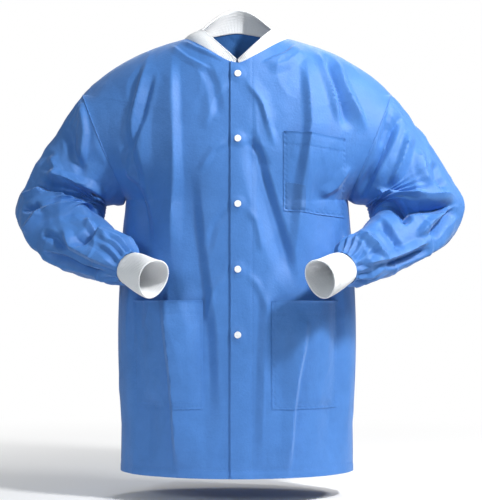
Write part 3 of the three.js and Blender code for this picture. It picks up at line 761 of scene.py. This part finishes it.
def sleeve_frame(distance):
    """The sleeve's centre line at a distance from the armhole: point, direction, and way out."""
    turned = np.clip((distance - UPPER_LENGTH) / BEND, 0, ELBOW_TURN)[..., None]
    along = np.cos(turned) * UPPER + np.sin(turned) * np.cross(AXIS, UPPER)
    outward = np.cross(along, AXIS)
    past = distance - UPPER_LENGTH - np.clip(distance - UPPER_LENGTH, 0, ARC_LENGTH)
    return CROOK + BEND * outward + past[..., None] * along, along, outward


def ring_point(distance, angle, radius, depth):
    centre, _, outward = sleeve_frame(distance)
    turn = angle + RING_PHASE
    beside = (depth * np.sin(turn))[..., None] * AXIS
    return centre + (radius * np.cos(turn))[..., None] * outward - beside


def sleeve_point(distance, angle):
    taper = smooth(distance, ELBOW_DISTANCE, SLEEVE_LENGTH - GATHER_LENGTH)
    gather = smooth(distance, SLEEVE_LENGTH - GATHER_LENGTH, SLEEVE_LENGTH)
    radius = mix(mix(UPPER_RADIUS, FOREARM_RADIUS, taper), GATHERED_RADIUS, gather)
    depth = mix(mix(UPPER_DEPTH, FOREARM_DEPTH, taper), GATHERED_RADIUS, gather)
    ring = ring_point(distance, angle, radius, depth)
    seam = armhole_point(angle) + np.minimum(distance, UPPER_LENGTH)[..., None] * UPPER
    return mix(seam, ring, smooth(distance, 0, CAP_LENGTH)[..., None])


def trimmed(points, outline, share):
    """Draws what stands past the outline in to it, which leaves flat runs and a pointed elbow."""
    points = points.copy()
    soft = OUTLINE_SOFTNESS
    for (x0, z0), (x1, z1) in zip(outline[:-1], outline[1:]):
        length = math.hypot(x1 - x0, z1 - z0)
        out_x, out_z = -(z1 - z0) / length, (x1 - x0) / length
        past = (points[..., 0] - x0) * out_x + (points[..., 2] - z0) * out_z
        shift = -soft * np.log1p(np.exp(np.clip(-past / soft, -50, 50))) - past
        shift = np.where(past < -8 * soft, 0, shift) * share
        points[..., 0] += shift * out_x
        points[..., 2] += shift * out_z
    return points


def wrapped_angle(angle):
    """The same angle between half a turn back and half a turn on."""
    return (angle + np.pi) % (2 * np.pi) - np.pi


def sleeve_grid(side):
    rows = np.linspace(0, SLEEVE_LENGTH, lines(SLEEVE_ROWS))
    columns = -2 * np.pi * np.arange(lines(SLEEVE_COLUMNS)) / lines(SLEEVE_COLUMNS)
    distance, angle = np.meshgrid(rows, columns, indexing="ij")
    share = smooth(distance, 0.0, 0.06) * (1 - smooth(distance, 0.34, 0.38))
    points = trimmed(sleeve_point(distance, angle), OUTLINES[side], share)
    if side > 0:
        pointed = bump(points[..., 2], POINT_HEIGHT, POINT_SPREAD) * smooth(points[..., 0], 0.33, 0.39)
        points[..., 0] += POINT_LENGTH * pointed
    normals = grid_normals(points, True)
    world = flipped(points, side)
    seen = LEFT_SLEEVE_FOLDS if side > 0 else RIGHT_SLEEVE_FOLDS
    rear = [([(side * x, z) for x, z in line], *rest) for line, *rest in SLEEVE_BACK_FOLDS]
    height = SLEEVE_FOLD_SHARE * folds_seen(world, -normals[..., 1], seen)
    height += folds_seen(world, normals[..., 1], rear)
    height += crumple(world, *SLEEVE_CRUMPLE)

    # Creases in the crook of the elbow, gathers at the cuff and at the top of the armhole
    inside = smooth(-np.cos(angle + RING_PHASE), 0.1, 0.9)
    creases = zigzag((distance - ELBOW_DISTANCE) / 0.021) * bump(distance, ELBOW_DISTANCE, 0.055)
    height += 0.0034 * creases * inside
    warp = 1.4 * waves(world, 12, shift=7.0)
    near_cuff = smooth(distance, SLEEVE_LENGTH - 0.085, SLEEVE_LENGTH - 0.004)
    height += 0.0030 * zigzag(angle / (2 * np.pi) * 15 + warp) * near_cuff
    near_top = (1 - smooth(distance, 0.0, 0.06)) * smooth(distance, 0, 0.008)
    height += 0.0016 * np.sin(angle * 34 + 3 * warp) * near_top * bump(wrapped_angle(angle), 0, 0.75)

    calm = smooth(distance, 0.0, 0.012) * (1 - smooth(distance, SLEEVE_LENGTH - 0.008, SLEEVE_LENGTH))
    height *= np.maximum(calm, 0.25 * (distance > SLEEVE_LENGTH / 2))
    height -= 0.0008 * bump(wrapped_angle(angle + np.pi), 0, 0.02) * calm  # the seam under the arm
    return points + normals * height[..., None]


sleeves = {}
for side, name in SIDES.items():
    grid = turned_over(sleeve_grid(side), side)
    sleeves[side] = sheet_object(f"{name}_sleeve", grid, CLOTH, blue, wrapped=True)
    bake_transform(sleeves[side])
    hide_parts(f"{name}_upper_sleeve", f"{name}_lower_sleeve")

# ------------------------------------------------------------------------------------------------
# Knit collar and cuffs
RIB_PITCH, RIB_DEPTH = 0.0024, 0.0007
COLUMNS_PER_RIB = 5
CUFF_LENGTH, CUFF_START_RADIUS, CUFF_END_RADIUS = 0.060, 0.0275, 0.033
CUFF_ROWS, CUFF_TUCK = 26, 0.06  # the share of its length that the cuff runs up into the sleeve
CUFF_KNIT, COLLAR_KNIT = 0.0016, 0.0018
COLLAR_ROWS = 18
COLLAR_TOP_HALF_WIDTH, COLLAR_TOP_HALF_DEPTH, COLLAR_TOP_Y = 0.062, 0.077, -0.015
COLLAR_FRONT_Z, COLLAR_SIDE_Z, COLLAR_BACK_RISE = -0.048, 0.014, 0.046
COLLAR_GAP = 0.003  # from the centre line to where a collar end stops


def knit_columns(length):
    return max(4, round(length / RIB_PITCH * DETAIL)) * COLUMNS_PER_RIB


def ribbed(points, wrapped):
    """Adds ribs that run down the grid's columns, and a slight step at every other row."""
    rows, columns = points.shape[:2]
    rib = np.cos(np.arange(columns) * 2 * np.pi / COLUMNS_PER_RIB)
    loop_row = np.cos(np.arange(rows) * np.pi)
    height = RIB_DEPTH * rib + 0.00012 * loop_row[:, None]
    return points + grid_normals(points, wrapped) * height[..., None]


def cuff_grid():
    columns = knit_columns(2 * np.pi * 0.031)
    turns = -2 * np.pi * np.arange(columns) / columns
    v, angle = np.meshgrid(np.linspace(-CUFF_TUCK, 1, CUFF_ROWS), turns, indexing="ij")
    distance = SLEEVE_LENGTH + 0.0005 + CUFF_LENGTH * v
    radius = mix(CUFF_START_RADIUS, CUFF_END_RADIUS, np.clip(v, 0, 1))
    radius += 0.0012 * np.sin(3 * angle + 5 * v)
    radius -= 0.0018 * (1 - smooth(v, -CUFF_TUCK, 0.05))
    return ribbed(ring_point(distance, angle, radius, radius), True)


def neck_seam(angle, lift):
    """The neckline, from the front at angle 0 round the back, with the fronts' lift where they lap."""
    folded = np.where(angle > np.pi, 2 * np.pi - angle, angle)
    x = NECK[0] * np.sin(folded)
    top = 0 * x
    step = 1e-3
    front = body_point(FRONT, top, angle_at_x(FRONT, top, x))
    down = body_point(FRONT, top + step, angle_at_x(FRONT, top + step, x)) - front
    beside = np.where(folded < RIGHT_ANGLE, x - step, x)
    across = front - body_point(FRONT, top, angle_at_x(FRONT, top, beside))
    normal = unit(np.cross(down, across + [1e-9, 0, 0]))
    front = front + (lift * (1 - smooth(x, LAP_LEVEL_X, FOLD_X)))[..., None] * normal
    rear = body_point(BACK, top, np.pi - folded)
    point = np.where((folded < RIGHT_ANGLE)[..., None], front, rear)
    point[..., 0] *= np.where(angle > np.pi, -1, 1)
    return point


def collar_top(angle):
    folded = np.where(angle > np.pi, 2 * np.pi - angle, angle)
    z = mix(COLLAR_FRONT_Z, COLLAR_SIDE_Z, np.sin(np.minimum(folded, RIGHT_ANGLE)))
    z += COLLAR_BACK_RISE * smooth(folded, RIGHT_ANGLE, np.pi)
    x, y = COLLAR_TOP_HALF_WIDTH * np.sin(angle), COLLAR_TOP_Y - COLLAR_TOP_HALF_DEPTH * np.cos(angle)
    return np.stack([x, y, z], -1)


def collar_grid(start, end, lift):
    columns = knit_columns(0.075 * (end - start)) + 1
    angles = np.linspace(start, end, columns)
    share, angle = np.meshgrid(np.linspace(0, 1, COLLAR_ROWS), angles, indexing="ij")
    seam, top = neck_seam(angle, lift), collar_top(angle)
    rise = np.linalg.norm(seam - top, axis=-1)
    point = mix(top, seam, share[..., None])
    bow = 0.004 * np.sin(np.pi * share) * smooth(rise, 0.010, 0.040)
    rolled = 0.0012 * np.exp(-share * 14)
    point[..., 0] += (bow + rolled) * np.sin(angle)
    point[..., 1] -= (bow + rolled) * np.cos(angle)
    return ribbed(point, False)


for side, name in SIDES.items():
    grid = turned_over(cuff_grid(), side)
    cuff = sheet_object(f"{name}_knit_cuff", grid, CUFF_KNIT, knit, wrapped=True, sharp=0)
    riding(cuff, f"{name}_forearm", "knit_rib", f"{name}_cuff")

collar_start = math.asin(COLLAR_GAP / NECK[0])
for side, name in ((1, "left"), (0, "rear"), (-1, "right")):
    if side:
        grid = turned_over(collar_grid(collar_start, RIGHT_ANGLE, side * SNAPPED_LIFT), side)
    else:
        grid = collar_grid(RIGHT_ANGLE, 3 * RIGHT_ANGLE, 0.0)
    band = sheet_object(f"{name}_collar", grid, COLLAR_KNIT, knit, sharp=0)
    if side:
        opening(band, side, "knit_rib", f"{name}_collar_end")
    else:
        riding(band, "coat_body", "knit_rib", "collar_back")

# ------------------------------------------------------------------------------------------------
# Pockets
POCKET_ROWS, POCKET_COLUMNS = 82, 62
POCKET_SEAM = 0.0035
POCKET_STAND = 0.0012
LOWER_POCKET = {
    "inner": 0.058, "outer": 0.176, "top": 0.300 - HEM_DROP, "bottom": 0.117 - HEM_DROP,
    "tilt": 0.02, "gape": 0.015,
}
CHEST_POCKET = {
    "inner": 0.079, "outer": 0.185, "top": -0.169, "bottom": -0.304, "tilt": 0.11, "gape": 0.008,
    "crease": (0.121, 0.109),
}
POCKETS = {
    "left_patch_pocket": (1, LOWER_POCKET, "left_lower_pocket"),
    "right_patch_pocket": (-1, LOWER_POCKET, "right_lower_pocket"),
    "chest_patch_pocket": (1, CHEST_POCKET, "chest_pocket"),
}
DOUBLING_ROWS, DOUBLING_COLUMNS = (0.64, 0.97), (0.03, 0.30)  # shares of the chest pocket
DOUBLING_LIFT, DOUBLING_CLOTH = 0.0005, 0.0004


def pocket_grid(side, inner, outer, top, bottom, tilt, gape, crease=None):
    columns, rows = np.linspace(0, 1, lines(POCKET_COLUMNS)), np.linspace(0, 1, lines(POCKET_ROWS))
    across, down = np.meshgrid(columns, rows)
    x = mix(inner, outer, across)
    z = mix(top, bottom, down) - tilt * (x - inner)
    panel, normal = front_at(x, z)
    world = flipped(panel, side)
    width, below = outer - inner, down * (top - bottom)
    edge = np.minimum.reduce([across * width, (1 - across) * width, (1 - down) * (top - bottom)])
    under = BODY_FOLD_SHARE * folds_seen(world, -normal[..., 1], BODY_FOLDS)
    under += crumple(world, *BODY_CRUMPLE)
    height = mix(under, np.maximum(under, 0.35 * under), smooth(edge, 0.004, 0.030))
    height += POCKET_STAND + gape * np.sin(np.pi * across) ** 0.8 * np.cos(RIGHT_ANGLE * down) ** 1.3
    height += crumple(world * 1.7 + 3.0, *POCKET_CRUMPLE) * smooth(edge, 0.0, 0.02)
    height -= 0.0006 * bump(edge, POCKET_SEAM, 0.0012)
    height += 0.35 * hem_height(below, MOUTH_TURN) + 0.0012 * (1 - smooth(below, 0.0, 0.0035))
    height += 0.0004 * np.sin((x + z) * 700) * bump(edge, 0.003, 0.003)
    if crease:
        away = np.abs(x - mix(*crease, down)) / 0.016
        height += 0.0022 * np.clip(1 - away, 0, 1) ** 1.5 * smooth(edge, 0, 0.008)
    return panel + normal * height[..., None]


pocket_grids, pockets = {}, {}
for name, (side, pocket, node) in POCKETS.items():
    pocket_grids[name] = pocket_grid(side, **pocket)
    pockets[name] = sheet_object(name, turned_over(pocket_grids[name], side), CLOTH, blue)
    riding(pockets[name], "coat_body", "coat_cloth", node)

# The doubled corner inside the chest pocket, drawn in the cloth darkened as painted shade, which shows
# as a darker square.
grid = pocket_grids["chest_patch_pocket"]
rows = np.round(np.linspace(*DOUBLING_ROWS, 24) * (len(grid) - 1)).astype(int)
columns = np.round(np.linspace(*DOUBLING_COLUMNS, 20) * (grid.shape[1] - 1)).astype(int)
corner = (grid + grid_normals(grid) * DOUBLING_LIFT)[np.ix_(rows, columns)]
doubling = sheet_object("chest_pocket_doubling", corner, DOUBLING_CLOTH, blue_painted_shade)
riding(doubling, "coat_body", "coat_cloth")

# ------------------------------------------------------------------------------------------------
# Seams and stitches
SEAM_RIDGE, SIDE_RIDGE, THREAD_RADIUS = 0.0009, 0.0007, 0.00028
STITCH_PITCH, STITCH_SHARE, STITCH_LIFT, STITCH_DIP = 0.0034, 0.66, 0.00035, 0.00005
TACK_HALF_WIDTH, TACK_LIFT = 0.0012, 0.0003


def evenly(path, pitch, values=None):
    """A path, or the values at its points, at places an even pitch apart."""
    steps = path_distances(path)
    places = np.linspace(0, steps[-1], max(2, int(steps[-1] / pitch)))
    values = path if values is None else values
    return np.stack([np.interp(places, steps, values[:, k]) for k in range(3)], -1)


def stitches(path, normals):
    """Single lockstitches along a path, each a short thread that dips into the cloth at its ends."""
    places = evenly(path, STITCH_PITCH)
    up = unit(evenly(path, STITCH_PITCH, normals))
    reach = STITCH_SHARE / 2
    parts = [(0.5 - reach, -STITCH_DIP), (0.5, STITCH_LIFT), (0.5 + reach, -STITCH_DIP)]
    return [[mix(a, b, t) + n * lift for t, lift in parts] for a, b, n in zip(places, places[1:], up)]


def bar_tack(grid, normals, column):
    """Five short threads across the end of a pocket's mouth."""
    made = []
    for step in range(5):
        row = 1 + step // 2
        middle = grid[row, column] + [0.0006 * (step - 2), 0, -0.0016 * (step % 2)]
        up = normals[row, column]
        ends = [middle + [way * TACK_HALF_WIDTH, 0, 0] + up * TACK_LIFT for way in (-1, 1)]
        made.append(np.array([ends[0], (ends[0] + ends[1]) / 2 + up * 0.0002, ends[1]]))
    return made


def hem_stitches(grid, normals, column):
    """Stitches along the row that lies a hem's turn above the lower edge at one column."""
    down = run_down(grid)[:, column]
    row = int(np.argmin(np.abs(down[-1] - down - HEM_TURN)))
    return stitches(grid[row], normals[row])


armhole = armhole_point(np.linspace(0, 2 * np.pi, 220)) + UPPER * 0.0002
shoulder = row_at(BACK, np.linspace(0, 0.999, 90))[1]
side_seam = side_point(np.linspace(0, 1, 160))
for side, name in SIDES.items():
    ridge = [flipped(evenly(armhole, 0.003), side)]
    riding(tube_object(f"{name}_armhole_seam", ridge, SEAM_RIDGE, blue, 6), "coat_body", "coat_cloth")
    ridges = [flipped(evenly(shoulder, 0.003), side), flipped(evenly(side_seam, 0.004), side)]
    seams = tube_object(f"{name}_side_and_shoulder_seams", ridges, SIDE_RIDGE, blue, 6)
    riding(seams, "coat_body", "coat_cloth")

lapped_x = np.linspace(-TOP_OVERLAP, FOLD_X, lines(LAPPED_COLUMNS))
placket = int(np.argmin(np.abs(lapped_x - PLACKET_STITCH_X)))
for side, name in SIDES.items():
    grid = front_grids[side]
    normals = grid_normals(grid)
    paths = hem_stitches(grid, normals, 0)
    if side > 0:
        paths += stitches(grid[6:-4, placket], normals[6:-4, placket])
    paths = [flipped(np.array(path), side) for path in paths]
    opening(tube_object(f"{name}_front_stitches", paths, THREAD_RADIUS, thread, 4), side, "coat_cloth")
paths = hem_stitches(back, grid_normals(back), back.shape[1] // 2)
riding(tube_object("back_hem_stitches", paths, THREAD_RADIUS, thread, 4), "coat_body", "coat_cloth")

for name, (side, pocket, _) in POCKETS.items():
    grid = pocket_grids[name]
    normals = grid_normals(grid)
    down = (len(grid) - 1) / (pocket["top"] - pocket["bottom"])
    near = max(1, round(POCKET_SEAM * (grid.shape[1] - 1) / (pocket["outer"] - pocket["inner"])))
    low = len(grid) - 1 - max(1, round(POCKET_SEAM * down))
    inside = slice(near, -near)
    across = (low, low - max(2, round(0.006 * down)), round(MOUTH_TURN * down))
    runs = [(slice(0, low), near), (slice(0, low), -1 - near)] + [(row, inside) for row in across]
    paths = [path for run in runs for path in stitches(grid[run], normals[run])]
    paths += bar_tack(grid, normals, near) + bar_tack(grid, normals, -1 - near)
    paths = [flipped(np.array(path), side) for path in paths]
    riding(tube_object(f"{name}_stitches", paths, THREAD_RADIUS, thread, 4), "coat_body", "coat_cloth")

# ------------------------------------------------------------------------------------------------
# Snaps
# Outlines of (radius, height over the body's surface) in millimetres.
SNAP_PROFILES = {
    "cap": [
        (0, 0.5), (1.3, 0.5), (1.3, 3.9), (5.5, 3.9), (5.8, 4.1), (5.8, 4.6), (5.5, 5.1),
        (4.9, 5.4), (4.3, 5.4), (4.0, 5.1), (3.0, 5.1), (1.2, 5.5), (0, 5.6),
    ],
    "socket": [
        (1.6, 0.9), (1.6, 0.3), (2.8, 0.3), (2.8, -1.3), (4.6, -1.3), (5.2, -1.1), (5.5, -0.8),
        (5.5, 0.7), (5.3, 0.9), (1.6, 0.9),
    ],
    "stud": [
        (0, -2.6), (1.6, -2.6), (1.6, -3.3), (5.3, -3.3), (5.5, -3.1), (5.5, -2.5), (4.9, -2.3),
        (1.9, -2.3), (1.5, -1.8), (1.6, -1.2), (2.0, -0.9), (1.9, -0.3), (1.2, 0), (0, 0),
    ],
    "back": [
        (0, -7.3), (4.5, -7.3), (5.2, -7.1), (5.5, -6.7), (5.5, -6.3), (1.3, -6.3), (1.3, -2.9),
        (0, -2.9),
    ],
}
SNAP_SIDES = 40


def lathe_object(name, profile, centre, axis, material):
    """A turned piece about an axis. A profile that ends where it starts makes a ring."""
    axis = unit(axis)
    side = unit(np.cross(axis, [1.0, 0, 0]))
    other = np.cross(axis, side)
    turns = np.arange(SNAP_SIDES) * 2 * np.pi / SNAP_SIDES
    looped = profile[0] == profile[-1]
    vertices, faces, rings = [], [], []
    for radius, height in np.array(profile[:-1] if looped else profile) / 1000:
        count = SNAP_SIDES if radius else 1
        rings.append(range(len(vertices), len(vertices) + count))
        for t in turns[:count]:
            vertices.append(centre + height * axis + radius * (math.cos(t) * side + math.sin(t) * other))
    for a, b in zip(rings, rings[1:] + rings[:1] if looped else rings[1:]):
        for i in range(SNAP_SIDES):
            k = (i + 1) % SNAP_SIDES
            corners = [a[i % len(a)], a[k % len(a)], b[k % len(b)], b[i % len(b)]]
            faces.append(list(dict.fromkeys(corners)))
    mesh = bpy.data.meshes.new(name)
    mesh.from_pydata([tuple(v) for v in vertices], [], faces)
    mesh.shade_smooth()
    mesh.set_sharp_from_angle(angle=math.radians(50))
    mesh.materials.append(material)
    made = bpy.data.objects.new(name, mesh)
    bpy.context.collection.objects.link(made)
    return made


for number, drop in enumerate(SNAP_DROPS, 1):
    place, normal = front_at(SNAP_X, -drop)
    for part, profile in SNAP_PROFILES.items():
        piece = lathe_object(f"snap_{number}_{part}_fine", profile, place, normal, plastic)
        body = "left_front" if part in ("cap", "socket") else "right_front"
        riding(piece, body, "snap_plastic", f"snap_{number}_{part}")

# ------------------------------------------------------------------------------------------------
# Floor, light and camera
FLOOR_RADIUS, FLOOR_Z, FLOOR_SIDES = 25.0, -0.80, 64
FLOOR_FADE = (0.35, 1.5)  # distances from the coat at which the floor starts to fade, and has faded


def seen_or_cast(tree, seen, cast):
    """One strength for what the camera sees, and another for the light that falls on the coat."""
    rays = tree.nodes.new("ShaderNodeLightPath")
    return between(tree, rays.outputs["Is Camera Ray"], cast, seen)


def floor_material():
    """Pale grey round the coat, fading into the white that the camera sees behind it."""
    material, tree, shader = node_material("pale_floor")
    shader.inputs["Base Color"].default_value = (0.90, 0.90, 0.90, 1)
    shader.inputs["Roughness"].default_value = 0.9
    place = tree.nodes.new("ShaderNodeTexCoord")
    far = add(tree, "ShaderNodeVectorMath", place.outputs["Object"])
    far.operation = "LENGTH"
    start, end = FLOOR_FADE
    fade = add(tree, "ShaderNodeMapRange", far.outputs["Value"], From_Min=start, From_Max=end)
    fade.interpolation_type = "SMOOTHSTEP"
    glow = tree.nodes.new("ShaderNodeEmission")
    tree.links.new(seen_or_cast(tree, 1.0, 0.18), glow.inputs["Strength"])
    blend = add(tree, "ShaderNodeMixShader", fade.outputs[0])
    tree.links.new(shader.outputs[0], blend.inputs[1])
    tree.links.new(glow.outputs[0], blend.inputs[2])
    tree.links.new(blend.outputs[0], tree.nodes["Material Output"].inputs[0])
    return material


def area_light(name, place, target, width, power, colour=(1, 1, 1)):
    data = bpy.data.lights.new(name, "AREA")
    data.shape = "DISK"
    data.size = width
    data.energy = power
    data.color = colour
    lamp = bpy.data.objects.new(name, data)
    bpy.context.collection.objects.link(lamp)
    lamp.location = place
    lamp.rotation_euler = (Vector(target) - Vector(place)).to_track_quat("-Z", "Y").to_euler()


floor_turns = np.arange(FLOOR_SIDES) * 2 * np.pi / FLOOR_SIDES
rim = [(FLOOR_RADIUS * math.cos(t), FLOOR_RADIUS * math.sin(t), 0) for t in floor_turns]
floor_mesh = bpy.data.meshes.new("floor")
floor_mesh.from_pydata(rim, [], [tuple(range(FLOOR_SIDES))])
floor_mesh.materials.append(floor_material())
floor = bpy.data.objects.new("floor", floor_mesh)
floor.location.z = FLOOR_Z
bpy.context.collection.objects.link(floor)
floor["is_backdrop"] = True

scene = bpy.context.scene
scene.view_settings.view_transform = "Standard"
world = bpy.data.worlds.new("studio")
scene.world = world
world.use_nodes = True
sky = world.node_tree.nodes["Background"]
sky.inputs["Color"].default_value = (1, 1, 1, 1)
world.node_tree.links.new(seen_or_cast(world.node_tree, 1.0, 0.30), sky.inputs["Strength"])

area_light("key", (1.02, -0.90, 0.82), (0.08, 0, -0.15), 0.20, 35)
area_light("fill", (-1.7, -2.5, 0.6), (0, 0, -0.35), 1.0, 26, (0.84, 0.93, 1.0))
area_light("side", (1.70, -0.35, 0.75), (0.25, 0, -0.15), 0.40, 18)
area_light("rim", (0.6, 2.4, 1.6), (0, 0, -0.3), 1.2, 30)

camera_data = bpy.data.cameras.new("camera")
camera_data.lens = 127
camera_data.sensor_width = 36
camera = bpy.data.objects.new("camera", camera_data)
bpy.context.collection.objects.link(camera)
camera.location = (0.007, -3.1, -0.371)
camera.rotation_euler = (RIGHT_ANGLE, 0, 0)
scene.camera = camera

low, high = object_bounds()
